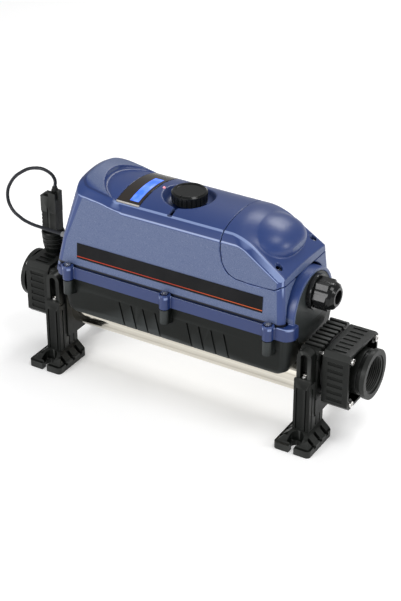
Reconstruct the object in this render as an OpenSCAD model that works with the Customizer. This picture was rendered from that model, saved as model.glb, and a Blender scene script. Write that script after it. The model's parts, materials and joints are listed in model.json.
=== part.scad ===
// Inline electric pool water heater, fitted between the pipes of a pool's filter loop.
// Millimetres. +X runs along the pipe towards the mains gland, +Y to the rear, +Z up.
// Origin: on the floor, midway between the two pipe ports, under their common axis.

/* [Pipe ports and tube] */
// height of the pipe ports' axis above the floor
port_axis_z = 89; // [70:1:120]
// distance from the middle to the outer face of each port
port_face_x = 245; // [220:1:280]
// outer radius of the port ring
port_ring_r = 31; // [28:0.5:40]
// minor radius of the port's parallel pipe thread
port_bore_r = 22.4; // [15:0.1:30]
// length of the port's threaded wall
port_thread_len = 22; // [15:1:30]
// height of the flow tube's axis above the floor
tube_axis_z = 72.5; // [60:0.5:90]
// outer radius of the flow tube
tube_r = 32.5; // [25:0.5:36]
// wall of the flow tube
tube_wall = 1.5; // [1:0.1:3]

/* [End housings and caps] */
// inner face of each end housing, from the middle
housing_in_x = 165; // [150:1:175]
// outer face of each end housing
housing_out_x = 190; // [180:1:200]
// half depth of the end housings
housing_half_y = 42; // [36:1:50]
// underside of the end housings
housing_bottom_z = 34; // [28:1:40]
// top of the end housings' ribs
housing_top_z = 125; // [115:1:135]
// inner face of each end cap
cap_in_x = 195; // [190:1:205]
// outer face of each end cap
cap_out_x = 229; // [220:1:236]
// half depth of the end caps
cap_half_y = 39; // [32:1:45]
// half height of the end caps about the port axis
cap_half_z = 37; // [32:1:45]

/* [Feet] */
// middle of the feet, from the middle of the heater
foot_x = 178; // [170:1:186]
// half width of a foot's upright
upright_half_x = 10.7; // [8:0.1:14]
// front of the front uprights
front_upright_y = -55.5; // [-62:0.5:-48]
// rear of the front uprights
front_upright_back_y = -19; // [-30:1:-12]
// toe of the front feet
front_toe_y = -79; // [-90:1:-70]
// half width of the front feet's soles
sole_half_x = 24; // [18:1:30]
// toe of the rear feet
rear_toe_y = 80; // [72:1:95]
// radius of the fixing holes at the ends of the feet's open slots
fix_hole_r = 6; // [4:0.5:7]
// width of the feet's open slots
fix_slot_w = 7; // [5:0.5:9]
// front fixing holes, from the port axis
front_fix_y = -66; // [-72:1:-60]
// rear fixing holes, from the port axis
rear_fix_y = 66; // [62:1:75]

/* [Casing] */
// parting line between the lower case and the cover
part_line_z = 138; // [130:1:150]
// top of the cover's flange
flange_top_z = 155.5; // [150:0.5:165]
// half length of the cover's flange
flange_half_x = 166; // [160:1:170]
// half depth of the cover's flange
flange_half_y = 64; // [60:0.5:70]
// underside of the lower case
case_bottom_z = 87; // [80:1:95]
// height of the cover's top along its long edges
cover_edge_z = 251; // [240:1:260]
// rise of the cover's top from its edges to its middle
cover_crown = 9; // [4:1:12]
// seam between the main cover and the access cover
seam_x = 65; // [50:1:80]
// wall of the plastic mouldings
shell_wall = 3; // [2:0.5:4]

/* [Controls] */
// middle of the thermostat knob along the cover
knob_x = -8; // [-20:1:0]
// radius of the thermostat knob
knob_r = 22; // [16:0.5:26]
// top of the thermostat knob
knob_top_z = 266; // [262:0.5:270]
// height of the mains gland's axis
gland_z = 178; // [170:1:186]

/* [Flow switch] */
// flow switch axis, from the middle of the heater
switch_x = -212; // [-218:1:-205]
// height of the taller half of the flow switch's housing
switch_top_z = 214; // [205:1:225]

/* [Hidden] */
$fn = 48;
boss_xs = [-143, -3, 137];
boss_y = 67;
arch_r = 45;
arch_z = 155;
blue = [0.16, 0.24, 0.52];
black = [0.09, 0.09, 0.1];
steel = [0.76, 0.75, 0.72];
brass = [0.78, 0.62, 0.3];
grey = [0.5, 0.5, 0.52];
white = [0.9, 0.9, 0.88];
rubber = [0.05, 0.05, 0.05];

// centre line of the flow switch's lead: up, out to the left and back to the casing
lead_r = 2.2;
lead_pts = [[-206, 0, 218], [-205, -1, 232], [-213, -3, 241], [-230, -6, 243], [-251, -10, 233],
            [-265, -13, 217], [-269, -16, 200], [-262, -19, 185], [-246, -22, 176.5], [-229, -25, 174],
            [-207, -28, 174.5], [-190, -29.5, 175], [-175, -30, 175]];
lead_n = len(lead_pts);
function lead_at(i) = lead_pts[max(0, min(lead_n - 1, i))];
function lead_curve(i, t) = 0.5 * (2 * lead_at(i) + (lead_at(i + 1) - lead_at(i - 1)) * t
  + (2 * lead_at(i - 1) - 5 * lead_at(i) + 4 * lead_at(i + 1) - lead_at(i + 2)) * t * t
  + (3 * lead_at(i) - lead_at(i - 1) - 3 * lead_at(i + 1) + lead_at(i + 2)) * t * t * t);
lead_path = concat([for (i = [0 : lead_n - 2]) for (k = [0 : 2]) lead_curve(i, k / 3)],
  [lead_at(lead_n - 1)]);
lead_m = len(lead_path);
function lead_dir(i) =
  i == 0 ? [0, 0, 1] : i == lead_m - 1 ? [1, 0, 0] :
  (lead_path[i + 1] - lead_path[i - 1]) / norm(lead_path[i + 1] - lead_path[i - 1]);
function lead_side(i) = cross(lead_dir(i), [0.2, 1, 0.1]) / norm(cross(lead_dir(i), [0.2, 1, 0.1]));
lead_ring = [for (i = [0 : lead_m - 1]) for (k = [0 : 7])
  lead_path[i] + lead_r * (cos(k * 45) * lead_side(i) + sin(k * 45) * cross(lead_dir(i), lead_side(i)))];

module xcyl(r, x0, x1, y = 0, z = 0) {
  translate([x0, y, z])
    rotate([0, 90, 0])
      cylinder(r = r, h = x1 - x0);
}

module box(a, b) {
  translate(a)
    cube(b - a);
}

module ends() {
  children();
  mirror([1, 0, 0])
    children();
}

module rounded_plate(hx, hy, r, z0, z1) {
  translate([0, 0, z0])
    linear_extrude(height = z1 - z0)
      offset(r = r)
        square([2 * (hx - r), 2 * (hy - r)], center = true);
}

// ---- water side

module flow_tube() {
  color(steel)
    difference() {
      union() {
        xcyl(tube_r, -180, 180, 0, tube_axis_z);
        translate([-110, 0, 92])
          cylinder(r = 18.5, h = 20);
        translate([110, 0, 98])
          cylinder(r = 9, h = 12);
      }
      xcyl(tube_r - tube_wall, -181, 181, 0, tube_axis_z);
      translate([-110, 0, 90])
        cylinder(r = 16, h = 30);
      translate([110, 0, 90])
        cylinder(r = 4.6, h = 30);
    }
}

module tube_seals() {
  color(rubber)
    ends()
      translate([173, 0, tube_axis_z])
        rotate([0, 90, 0])
          rotate_extrude()
            translate([tube_r + 1.2, 0])
              circle(r = 1.2, $fn = 20);
}

module housing_profile() {
  translate([0, (housing_top_z + housing_bottom_z) / 2])
    offset(r = 7)
      square([2 * housing_half_y - 14, housing_top_z - housing_bottom_z - 14], center = true);
}

module end_housing() {
  difference() {
    union() {
      translate([housing_in_x, 0, 0])
        rotate([90, 0, 90])
          linear_extrude(height = housing_out_x - housing_in_x)
            housing_profile();
      // neck that enters the end cap
      xcyl(33, housing_out_x - 1, cap_in_x + 10, 0, port_axis_z);
      // raised surround of the front screw slot
      difference() {
        union() {
          box([foot_x - 9.5, -52.5, 84], [foot_x + 9.5, -41, 118]);
          translate([foot_x, -41, 118])
            rotate([90, 0, 0])
              cylinder(r = 9.5, h = 11.5);
        }
        box([foot_x - 4.5, -53, 90], [foot_x + 4.5, -44.5, 118]);
        translate([foot_x, -44.5, 118])
          rotate([90, 0, 0])
            cylinder(r = 4.5, h = 9);
      }
      // rear pad that takes the rear foot
      box([foot_x - 9.5, 41, 84], [foot_x + 9.5, 47, 112]);
    }
    // ribbed top
    for (i = [0 : 7])
      box([housing_in_x + 2, -33.5 + i * 9, housing_top_z - 3],
          [housing_out_x + 1, -29.5 + i * 9, housing_top_z + 1]);
    // step that lets the cover's flange pass
    box([housing_in_x - 1, -43, housing_top_z - 6], [housing_in_x + 2, 43, housing_top_z + 1]);
    // seat of the tube and its seal
    xcyl(tube_r, housing_in_x - 1, 180, 0, tube_axis_z);
    xcyl(tube_r + 2.5, 171.6, 174.4, 0, tube_axis_z);
    // water way
    xcyl(port_bore_r, 179, cap_in_x + 11, 0, port_axis_z);
    xcyl(tube_r - tube_wall, 179, 184, 0, tube_axis_z);
    // screw holes for the front and rear feet
    translate([foot_x, -48.5, 70])
      cylinder(r = 2.1, h = 30, $fn = 24);
    translate([foot_x, 37.5, 70])
      rotate([-90, 0, 0])
        cylinder(r = 2.1, h = 6, $fn = 24);
    // screw holes for the end cap
    for (sy = [-1, 1])
      for (sz = [-1, 1])
        xcyl(2.35, housing_out_x - 8.2, housing_out_x + 1, sy * 31, port_axis_z + sz * 29);
    // grooves on the outer face edge
    for (z = [58, 112])
      box([housing_out_x - 1.5, -43, z], [housing_out_x + 0.1, -40.6, z + 2]);
  }
}

module left_end_housing() {
  color(black)
    mirror([1, 0, 0])
      end_housing();
}

module right_end_housing() {
  color(black)
    end_housing();
}

module cap_outline() {
  difference() {
    square([2 * cap_half_y, 2 * cap_half_z], center = true);
    for (a = [0 : 90 : 270])
      rotate([0, 0, a])
        translate([cap_half_z + 2, cap_half_z + 2])
          rotate([0, 0, 45])
            square([11, 11], center = true);
  }
}

module end_cap() {
  z0 = port_axis_z - cap_half_z;
  difference() {
    union() {
      translate([cap_in_x, 0, port_axis_z])
        rotate([90, 0, 90])
          linear_extrude(height = cap_out_x - cap_in_x)
            cap_outline();
      // port boss and ring
      xcyl(28.5, cap_out_x - 12, cap_out_x + 4, 0, port_axis_z);
      xcyl(26.5, cap_out_x + 3.9, port_face_x - 5, 0, port_axis_z);
      xcyl(port_ring_r, port_face_x - 6, port_face_x, 0, port_axis_z);
    }
    // recess round the boss, open between four webs
    difference() {
      translate([cap_out_x - 11, 0, port_axis_z])
        rotate([90, 0, 90])
          linear_extrude(height = 12)
            offset(delta = -3.5)
              cap_outline();
      xcyl(28.5, cap_out_x - 12, cap_out_x + 2, 0, port_axis_z);
      box([cap_out_x - 12, -cap_half_y, port_axis_z - 1.2], [cap_out_x - 3, cap_half_y, port_axis_z + 1.2]);
      box([cap_out_x - 12, -1.2, z0], [cap_out_x - 3, 1.2, z0 + 2 * cap_half_z]);
      for (sy = [-1, 1])
        for (sz = [-1, 1])
          xcyl(6.5, cap_out_x - 12, cap_out_x - 0.8, sy * 31, port_axis_z + sz * 29);
    }
    // water way and the thread's wall
    xcyl(port_bore_r, port_face_x - port_thread_len, port_face_x + 1, 0, port_axis_z);
    xcyl(port_bore_r - 1.6, cap_in_x - 1, port_face_x - port_thread_len + 1, 0, port_axis_z);
    xcyl(33.3, cap_in_x - 1, cap_in_x + 10.4, 0, port_axis_z);
    xcyl(port_bore_r + 1.6, port_face_x - 1.5, port_face_x + 1, 0, port_axis_z);
    // grip grooves on the front, rear and top
    for (i = [0 : 5])
      for (sy = [-1, 1])
        translate([cap_in_x + 7, sy * cap_half_y - 0.9, port_axis_z - 27 + i * 9.6])
          cube([20, 1.8, 4.4]);
    for (i = [0 : 6])
      translate([cap_in_x + 7, -30.4 + i * 9.2, port_axis_z + cap_half_z - 1.2])
        cube([18, 3.4, 2.4]);
    // clearance holes for the four long screws
    for (sy = [-1, 1])
      for (sz = [-1, 1])
        xcyl(2.6, cap_in_x - 1, cap_out_x + 1, sy * 31, port_axis_z + sz * 29);
  }
}

module left_end_cap() {
  color(black)
    difference() {
      mirror([1, 0, 0])
        end_cap();
      // seat of the flow switch
      translate([switch_x, 0, port_axis_z])
        cylinder(r = 7.3, h = 60);
    }
}

module right_end_cap() {
  color(black)
    end_cap();
}

module cap_seals() {
  color(rubber)
    ends()
      translate([cap_in_x - 2.6, 0, port_axis_z])
        rotate([0, 90, 0])
          rotate_extrude()
            translate([34.8, 0])
              circle(r = 1.8, $fn = 20);
}

module cap_screws() {
  color(steel)
    ends()
      for (sy = [-1, 1])
        for (sz = [-1, 1])
          difference() {
            union() {
              xcyl(2.3, housing_out_x - 8, cap_out_x, sy * 31, port_axis_z + sz * 29);
              xcyl(4, cap_out_x - 0.8, cap_out_x + 2.6, sy * 31, port_axis_z + sz * 29);
            }
            translate([cap_out_x + 1, sy * 31, port_axis_z + sz * 29])
              rotate([0, 90, 0])
                cylinder(r = 2.2, h = 3, $fn = 6);
          }
}

// ---- feet

module sole(hx, y0, y1, r) {
  translate([0, (y0 + y1) / 2, 0])
    linear_extrude(height = 9)
      offset(r = r)
        square([2 * (hx - r), y1 - y0 - 2 * r], center = true);
}

module front_foot() {
  difference() {
    union() {
      sole(sole_half_x, front_toe_y, front_upright_back_y, 5);
      hull() {
        box([-sole_half_x + 3, front_toe_y + 4, 8.5], [sole_half_x - 3, front_upright_back_y, 9.5]);
        box([-upright_half_x, front_upright_y - 2, 9], [upright_half_x, front_upright_back_y, 19]);
      }
      box([-upright_half_x, front_upright_y, 9],
          [upright_half_x, front_upright_back_y, housing_bottom_z - 0.2]);
      box([-upright_half_x, front_upright_y, 30], [upright_half_x, -housing_half_y - 0.2, 83.8]);
      box([-upright_half_x, front_upright_y, 80], [upright_half_x, -52.8, 89.5]);
    }
    // open slot and fixing hole at the toe
    translate([0, front_fix_y, -1])
      cylinder(r = fix_hole_r, h = 12);
    translate([0, front_fix_y, 7])
      cylinder(r = fix_hole_r + 3, h = 14);
    box([-fix_slot_w / 2, front_toe_y - 1, -1], [fix_slot_w / 2, front_fix_y, 20]);
    box([-fix_hole_r - 3, front_toe_y + 6, 7], [fix_hole_r + 3, front_fix_y, 20]);
    // screw that ties the foot to the end housing
    translate([0, -48.5, 66])
      cylinder(r = 2.1, h = 20, $fn = 24);
    // flutes of the front and of both sides
    for (x = [-6.6, 5.6])
      box([x - 0.9, front_upright_y - 1, 20], [x + 0.9, front_upright_y + 1.6, 77]);
    for (sx = [-1, 1])
      for (y = [-49, -37, -27])
        box([sx * upright_half_x - 1.4, y - 1, 20], [sx * upright_half_x + 1.4, y + 1, 77]);
    // slots in the sole's side ramps
    for (sx = [-1, 1])
      for (y = [-63, -47, -31])
        box([sx * 18.5 - 5, y - 2.6, 6], [sx * 18.5 + 6, y + 2.6, 20]);
  }
}

module rear_foot() {
  difference() {
    union() {
      sole(12, 48, rear_toe_y, 4);
      box([-9.5, housing_half_y + 0.3, 5], [9.5, 56, 83.8]);
      hull() {
        box([-9.5, 50, 8], [9.5, 62, 9.5]);
        box([-9.5, 50, 8], [9.5, 56, 19]);
      }
    }
    translate([0, rear_fix_y, -1])
      cylinder(r = fix_hole_r, h = 12);
    translate([0, rear_fix_y, 7])
      cylinder(r = fix_hole_r + 3, h = 14);
    box([-fix_slot_w / 2, rear_fix_y, -1], [fix_slot_w / 2, rear_toe_y + 1, 20]);
    translate([0, 30, 70])
      rotate([-90, 0, 0])
        cylinder(r = 2.1, h = 40, $fn = 24);
    translate([0, 53, 70])
      rotate([-90, 0, 0])
        cylinder(r = 4.4, h = 5, $fn = 32);
    for (x = [-4.5, 4.5])
      box([x - 0.9, 54.6, 22], [x + 0.9, 57, 62]);
  }
}

module left_front_foot() {
  color(black)
    translate([-foot_x, 0, 0])
      front_foot();
}

module right_front_foot() {
  color(black)
    translate([foot_x, 0, 0])
      front_foot();
}

module left_rear_foot() {
  color(black)
    translate([-foot_x, 0, 0])
      rear_foot();
}

module right_rear_foot() {
  color(black)
    translate([foot_x, 0, 0])
      rear_foot();
}

module foot_screws() {
  color(steel)
    ends() {
      difference() {
        union() {
          translate([foot_x, -48.5, 70])
            cylinder(r = 2, h = 20.2, $fn = 24);
          translate([foot_x, -48.5, 90])
            cylinder(r = 3.8, h = 3);
        }
        translate([foot_x, -48.5, 91.5])
          cylinder(r = 2, h = 2, $fn = 6);
      }
      difference() {
        union() {
          translate([foot_x, 38, 70])
            rotate([-90, 0, 0])
              cylinder(r = 2, h = 15.2, $fn = 24);
          translate([foot_x, 53, 70])
            rotate([-90, 0, 0])
              cylinder(r = 3.8, h = 3);
        }
        translate([foot_x, 54.5, 70])
          rotate([-90, 0, 0])
            cylinder(r = 2, h = 2, $fn = 6);
      }
    }
}

// ---- casing

module case_level(z, hx, hy, r) {
  rounded_plate(hx, hy, r, z, z + 0.5);
}

module lower_case_outer() {
  hull() {
    case_level(part_line_z - 1.1, 161, 61, 12);
    case_level(97, 157, 56.8, 11);
    case_level(90.5, 154.5, 55.8, 10);
    case_level(case_bottom_z, 149, 54.5, 8);
  }
}

module lower_case() {
  color(black)
    difference() {
      union() {
        lower_case_outer();
        // arched end plate that carries the mains gland
        intersection() {
          union() {
            xcyl(arch_r, 155, 161, 0, arch_z);
            box([155, -arch_r, 130], [161, arch_r, arch_z]);
          }
          box([150, -60, 120], [170, 60, 210]);
        }
        // bosses under the cover's screws
        for (x = boss_xs)
          for (sy = [-1, 1])
            hull() {
              translate([x, sy * boss_y, 119])
                cylinder(r = 6, h = part_line_z - 119 - 0.6, $fn = 32);
              box([x - 6, min(sy * 56, sy * 58), 116], [x + 6, max(sy * 56, sy * 58), part_line_z - 0.6]);
            }
      }
      // hollow for the electrics
      hull() {
        rounded_plate(154.5, 54.5, 8, 111, 111.5);
        rounded_plate(158, 58, 9, part_line_z + 2, part_line_z + 3);
      }
      // saddle over the flow tube
      xcyl(tube_r + 1.5, -170, 170, 0, tube_axis_z);
      // openings for the element boss and the sensor pocket
      translate([-110, 0, 100])
        cylinder(r = 19, h = 12);
      translate([110, 0, 100])
        cylinder(r = 9.4, h = 12);
      // hole for the mains gland
      xcyl(16.2, 150, 165, 0, gland_z);
      // slanted flutes at the front and rear
      for (sy = [-1, 1])
        for (x = [-73, -56, -39, -21.5, 23.5, 40, 57, 74.5])
          multmatrix([[1, 0, -0.147, x + 0.147 * 122], [0, 1, sy * 0.105, sy * 46.6], [0, 0, 1, 0]])
            translate([-1.1, -1.6, 84])
              cube([2.2, 3.2, 38]);
      // line below the parting edge
      for (sy = [-1, 1])
        box([-150, sy * 60.2 - 0.7, 122], [150, sy * 60.2 + 0.7, 123]);
      // pilot holes for the cover's screws
      for (x = boss_xs)
        for (sy = [-1, 1])
          translate([x, sy * boss_y, 121])
            cylinder(r = 1.9, h = 30, $fn = 24);
    }
  color(black)
    case_posts();
}

module case_posts() {
  for (x = [-58, 38])
    for (y = [-36, 36])
      difference() {
        translate([x, y, 110])
          cylinder(r = 4, h = 38, $fn = 32);
        translate([x, y, 138])
          cylinder(r = 1.3, h = 11, $fn = 24);
      }
}

module cover_gasket() {
  color(rubber)
    difference() {
      rounded_plate(160.5, 60.5, 11.5, part_line_z - 0.6, part_line_z + 0.5);
      rounded_plate(158.5, 58.5, 9.5, part_line_z - 1, part_line_z + 1);
      box([150, -arch_r - 1, 130], [170, arch_r + 1, 150]);
    }
}

function arc_pts(cx, cy, r, a0, z) =
  [for (i = [0 : 3]) [cx + r * cos(a0 + 30 * i), cy + r * sin(a0 + 30 * i), z]];
function crown_pts(x, hy, z, up) = [for (i = [-6 : 6]) [x, hy * i / 6, z + up * (1 - i * i / 36)]];
function ring_pts(xl, xr, hy, r, z) = concat(
  arc_pts(xr - r, hy - r, r, 0, z), arc_pts(xl + r, hy - r, r, 90, z),
  arc_pts(xl + r, -hy + r, r, 180, z), arc_pts(xr - r, -hy + r, r, 270, z));
function cover_pts(e) = concat(
  ring_pts(-165.5 + e, 153.5 - e, 60.7 - e, 9, 154),
  ring_pts(-147 + e, 90 - e, 54.1 - e, 7, 241 - e * 0.4),
  ring_pts(-151 + e, 149.5 - e, 56.6 - e, 6, 206 - e * 0.4),
  crown_pts(-141 + e, 46 - e * 0.6, cover_edge_z - e, cover_crown),
  crown_pts(92 - e * 0.6, 46 - e * 0.6, cover_edge_z - e, cover_crown),
  crown_pts(148.5 - e, 51 - e * 0.6, 213.5 - e, 2));

module solid_of(points) {
  hull()
    polyhedron(points = points, faces = [[for (i = [0 : len(points) - 1]) i]]);
}

module cover_body(e) {
  solid_of(cover_pts(e));
}

module hump() {
  difference() {
    solid_of(concat(
      ring_pts(-147.5, -70, 54.2, 7, 240),
      [for (s = [-1, 1]) each [[-87, s * 54.1, 241], [-131, s * 52.6, 258.5], [-138.5, s * 48, 261],
        [-142.3, s * 39, 263], [-142.8, s * 20, 263.5]]],
      [for (s = [-1, 1]) each [[-86, s * 46, 251], [-127, s * 44, 267], [-134, s * 38, 269.5],
        [-138.5, s * 27, 271], [-139.5, s * 12, 271.5]]]));
    // shallow bowl that opens towards the display
    translate([-83, 0, 252])
      scale([1, 1.3, 1])
        cylinder(r1 = 27, r2 = 37, h = 24);
  }
}

module seam_prism(gap) {
  translate([0, 80, 0])
    rotate([90, 0, 0])
      linear_extrude(height = 160)
        offset(delta = gap)
          polygon([[seam_x, 320], [seam_x, 246], [seam_x + 0.6, 230], [seam_x + 3.5, 216],
            [seam_x + 8, 208], [seam_x + 14, 202.5], [seam_x + 23, 199], [seam_x + 42, 197.8],
            [139, 198.4], [146, 203], [180, 206], [180, 320]]);
}

module cover_windows() {
  // window over the display
  box([-74, -38, 230], [-54, 22, 270]);
  // seat of the display window
  difference() {
    box([-84, -44.5, 240], [-51, 44.5, 275]);
    translate([-90, 0, 0])
      rotate([90, 0, 90])
        linear_extrude(height = 50)
          polygon(concat([[-46, 200]],
            [for (p = crown_pts(0, 46, cover_edge_z - 2.2, cover_crown)) [p[1], p[2]]],
            [[46, 200]]));
  }
}

module main_cover() {
  color(blue)
    difference() {
      union() {
        difference() {
          union() {
            cover_body(0);
            hump();
            // flange
            rounded_plate(flange_half_x, flange_half_y, 13, part_line_z + 0.5, flange_top_z);
            for (x = boss_xs)
              for (sy = [-1, 1])
                hull() {
                  translate([x, sy * boss_y, part_line_z + 0.5])
                    cylinder(r = 6.5, h = 20, $fn = 32);
                  box([x - 6.5, min(sy * 60, sy * 61), part_line_z + 0.5],
                      [x + 6.5, max(sy * 60, sy * 61), part_line_z + 20]);
                }
            // raised rim of the end arch
            xcyl(50, 148, 160.8, 0, arch_z);
            box([148, -50, part_line_z + 0.5], [160.8, 50, arch_z]);
          }
          // hollow
          solid_of(concat(cover_pts(shell_wall), ring_pts(-162, 158, 58, 9, 130)));
          // groove between flange and wall
          difference() {
            rounded_plate(164, 62, 11, flange_top_z - 1.6, flange_top_z + 1);
            rounded_plate(163, 60.9, 10, flange_top_z - 2, flange_top_z + 2);
            box([140, -50, 130], [170, 50, 170]);
            for (x = boss_xs)
              box([x - 7, -80, 130], [x + 7, 80, 170]);
          }
          // nothing below the parting line
          box([-200, -100, 90], [200, 100, part_line_z + 0.5]);
          // opening under the access cover
          seam_prism(0);
          cover_windows();
          // seam beside the display
          difference() {
            box([-51.9, -43, 200], [-51, 43, 280]);
            cover_body(1);
          }
        }
        // cup under the thermostat knob
        intersection() {
          translate([knob_x, 0, 245.5])
            cylinder(r = 34, h = 20);
          cover_body(0);
        }
        // posts for the access cover's screws
        for (sy = [-1, 1]) {
          box([131, min(sy * 37, sy * 54.8), 188], [150.8, max(sy * 37, sy * 54.8), 198]);
          box([131, min(sy * 37, sy * 51.5), 190], [140.5, max(sy * 37, sy * 51.5), 211]);
        }
      }
      // arch
      xcyl(arch_r + 0.4, 140, 170, 0, arch_z);
      box([140, -arch_r - 0.4, 130], [170, arch_r + 0.4, arch_z]);
      // dish round the knob
      translate([knob_x, 0, 248.5])
        cylinder(r1 = 27, r2 = 34, h = 14);
      translate([knob_x, 0, 240])
        cylinder(r = 5.3, h = 20);
      // pointer slot at the front of the dish
      box([knob_x - 1.5, -45, 250.2], [knob_x + 1.5, -24, 262]);
      // hole for the indicator
      translate([-43.5, 0, 240])
        cylinder(r = 1.9, h = 30);
      // screw holes
      for (x = boss_xs)
        for (sy = [-1, 1]) {
          translate([x, sy * boss_y, 130])
            cylinder(r = 2.4, h = 40);
          translate([x, sy * boss_y, part_line_z + 18])
            cylinder(r = 4.6, h = 10);
        }
      for (sy = [-1, 1])
        translate([136, sy * 42, 190])
          cylinder(r = 1.6, h = 40, $fn = 24);
      // hole for the switch lead's grommet
      translate([-175, -30, 175])
        rotate([0, 90, 0])
          cylinder(r = 5.3, h = 30);
    }
}

module access_cover() {
  color(blue)
    difference() {
      intersection() {
        union() {
          cover_body(0);
          // hood over the terminals
          translate([96, 0, 233])
            scale([46, 44, 26])
              sphere(r = 1, $fn = 40);
        }
        seam_prism(-0.35);
        box([0, -100, 190], [200, 100, 300]);
      }
      cover_body(shell_wall);
      translate([96, 0, 233])
        scale([43, 41, 23])
          sphere(r = 1, $fn = 32);
      // screw holes, sunk in from the slope
      for (sy = [-1, 1]) {
        translate([136, sy * 42, 190])
          cylinder(r = 2.1, h = 60, $fn = 24);
        translate([136, sy * 42, 216])
          cylinder(r = 3.6, h = 30, $fn = 32);
      }
    }
}

module cover_screws() {
  color(steel)
    for (x = boss_xs)
      for (sy = [-1, 1])
        difference() {
          union() {
            translate([x, sy * boss_y, 123])
              cylinder(r = 1.85, h = part_line_z + 18.2 - 123, $fn = 24);
            translate([x, sy * boss_y, part_line_z + 18])
              cylinder(r = 4.1, h = 3.4);
          }
          translate([x, sy * boss_y, part_line_z + 19.4])
            cylinder(r = 2.4, h = 4, $fn = 6);
        }
}

module access_screws() {
  color(steel)
    for (sy = [-1, 1])
      difference() {
        union() {
          translate([136, sy * 42, 199])
            cylinder(r = 1.5, h = 17.2, $fn = 24);
          translate([136, sy * 42, 216])
            cylinder(r = 3.1, h = 2.2);
        }
        translate([136, sy * 42, 217.2])
          cylinder(r = 1.6, h = 3, $fn = 6);
      }
}

module label_strip() {
  color(black)
    translate([0, -60.62, 157])
      rotate([85.63, 0, 0])
        translate([-133, 10, 0])
          cube([258.5, 20.6, 0.6]);
}

// ---- controls

module display_window() {
  color([0.12, 0.11, 0.11])
    translate([-83.6, 0, 0])
      rotate([90, 0, 90])
        linear_extrude(height = 32.2)
          polygon(concat(
            [for (p = crown_pts(0, 46, cover_edge_z - 2.1, cover_crown)) if (abs(p[1]) < 40) [p[1], p[2]]],
            [[44.1, cover_edge_z - 1.1], [44.1, cover_edge_z + 0.8]],
            [for (i = [5 : -1 : -5]) [46 * i / 6, cover_edge_z + 0.1 + cover_crown * (1 - i * i / 36)]],
            [[-44.1, cover_edge_z + 0.8], [-44.1, cover_edge_z - 1.1]]));
}

module display_module() {
  color([0.2, 0.35, 0.95])
    difference() {
      box([-73.5, -37.5, 236], [-54.5, 21.5, 249]);
      for (y = [-34, 18])
        translate([-64, y, 230])
          cylinder(r = 1.6, h = 12, $fn = 24);
    }
}

module control_board() {
  color([0.1, 0.4, 0.22])
    difference() {
      union() {
        box([-64, -42, 148.3], [44, 42, 149.9]);
        // relay, capacitors and transformer
        box([-56, -28, 149.9], [-32, -4, 172]);
        box([-26, -30, 149.9], [-6, -12, 166]);
        box([-26, 8, 149.9], [-6, 26, 166]);
        translate([8, -20, 149.9])
          cylinder(r = 6, h = 18);
        translate([8, 0, 149.9])
          cylinder(r = 6, h = 18);
        box([20, -30, 149.9], [32, 30, 160]);
      }
      for (x = [-58, 38])
        for (y = [-36, 36])
          translate([x, y, 140])
            cylinder(r = 1.6, h = 20, $fn = 24);
    }
}

module board_screws() {
  color(steel)
    for (x = [-58, 38])
      for (y = [-36, 36]) {
        translate([x, y, 140])
          cylinder(r = 1.25, h = 10, $fn = 24);
        translate([x, y, 149.9])
          cylinder(r = 2.8, h = 1.8, $fn = 32);
      }
}

module thermostat_control() {
  color(grey)
    difference() {
      union() {
        box([knob_x - 12, -12, 222], [knob_x + 12, 12, 239.8]);
        translate([knob_x, 0, 239])
          cylinder(r = 5, h = 11.3);
      }
      translate([knob_x, 0, 225])
        cylinder(r = 3.05, h = 30);
    }
}

module thermostat_shaft() {
  color(grey)
    translate([knob_x, 0, 226])
      cylinder(r = 3, h = 34);
}

module thermostat_knob() {
  color(black)
    difference() {
      union() {
        translate([knob_x, 0, 252.6])
          cylinder(r = knob_r, h = knob_top_z - 252.6 - 2);
        translate([knob_x, 0, knob_top_z - 2])
          cylinder(r1 = knob_r, r2 = knob_r - 2, h = 2);
      }
      // shallow thumb dish and pointer line
      translate([knob_x, 0, knob_top_z - 1])
        cylinder(r1 = knob_r - 5, r2 = knob_r - 3.5, h = 2);
      box([knob_x - 0.8, -knob_r + 0.5, knob_top_z - 1.4], [knob_x + 0.8, -knob_r + 6, knob_top_z + 1]);
      // fluted edge
      for (i = [0 : 23])
        translate([knob_x + (knob_r + 0.6) * cos(i * 15 + 7.5), (knob_r + 0.6) * sin(i * 15 + 7.5), 252])
          cylinder(r = 1.3, h = 11, $fn = 16);
      // bore for the shaft
      translate([knob_x, 0, 250])
        cylinder(r = 3, h = 10);
      translate([knob_x, 0, 252])
        difference() {
          cylinder(r = knob_r - 2.5, h = 6.5);
          cylinder(r = 8, h = 7);
        }
    }
}

module knob_seal() {
  color(rubber)
    translate([knob_x, 0, 249.6])
      rotate_extrude()
        translate([6.2, 0])
          circle(r = 1.1, $fn = 20);
}

module indicator_led() {
  color([0.95, 0.75, 0.8])
    union() {
      translate([-43.5, 0, 246])
        cylinder(r = 1.9, h = 14);
      translate([-43.5, 0, 260])
        cylinder(r1 = 1.9, r2 = 1, h = 1.2);
    }
}

// ---- electrics inside the casing

module terminal_block() {
  color(white)
    difference() {
      box([118.5, -40, 111], [142.5, 40, 130]);
      for (y = [-32 : 16 : 32])
        for (x = [123.5, 137.5])
          translate([x, y, 118])
            cylinder(r = 2.6, h = 20);
      for (y = [-24 : 16 : 24])
        box([117.5, y - 1, 124], [143.5, y + 1, 131]);
    }
}

module terminal_screws() {
  color(steel)
    for (y = [-32 : 16 : 32])
      for (x = [123.5, 137.5])
        translate([x, y, 118])
          cylinder(r = 2.4, h = 9);
}

module contactor() {
  color([0.8, 0.8, 0.76])
    difference() {
      box([52, -24, 111], [98, 24, 172]);
      box([67.6, -6.4, 150], [82.4, 6.4, 180]);
      for (y = [-18, -6, 6, 18])
        for (x = [50, 92])
          box([x, y - 4, 150], [x + 8, y + 4, 160]);
    }
}

module contactor_plunger() {
  color([0.85, 0.4, 0.15])
    box([68, -6, 156], [82, 6, 175]);
}

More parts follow.
